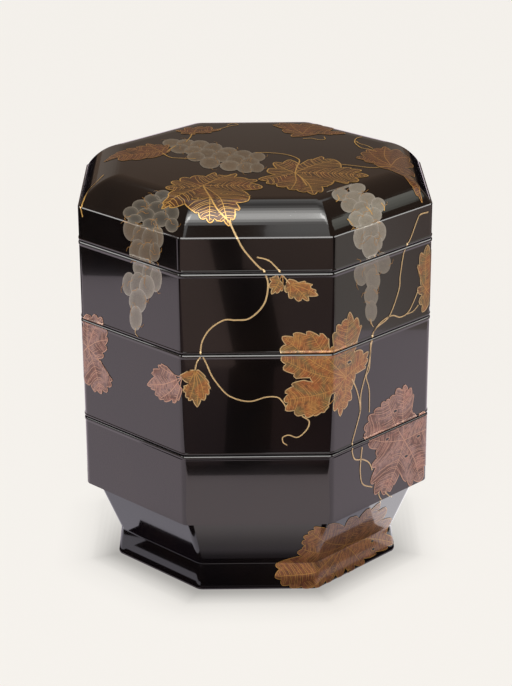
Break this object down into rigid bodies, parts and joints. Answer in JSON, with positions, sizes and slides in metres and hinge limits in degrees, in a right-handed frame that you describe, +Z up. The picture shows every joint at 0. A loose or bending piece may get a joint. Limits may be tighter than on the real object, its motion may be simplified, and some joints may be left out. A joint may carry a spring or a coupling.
{
  "type": "tiered lacquer box",
  "caption": "Octagonal stacking box in black lacquer with a round-shouldered lid, trays that fit over one another and a flared foot, decorated with gold and silver grapevines.",
  "frame": {"origin": "on the ground at the middle of the foot", "axes": "+Z up through the lid, -Y out of the front flat side, +X to the right of the front"},
  "size_m": [0.2416, 0.2416, 0.2845],
  "materials": {
    "black_lacquer": "thin wood under deep black lacquer polished to a mirror gloss",
    "gold_powder": "gold and copper powder sprinkled in wet lacquer and polished flush",
    "silver_powder": "silver powder sprinkled in wet lacquer and polished flush, tarnished to grey"
  },
  "bodies": {
    "root": {"bottom_tier": "black_lacquer", "middle_tier": "black_lacquer", "top_tier": "black_lacquer", "lid": "black_lacquer"}
  },
  "joints": []
}
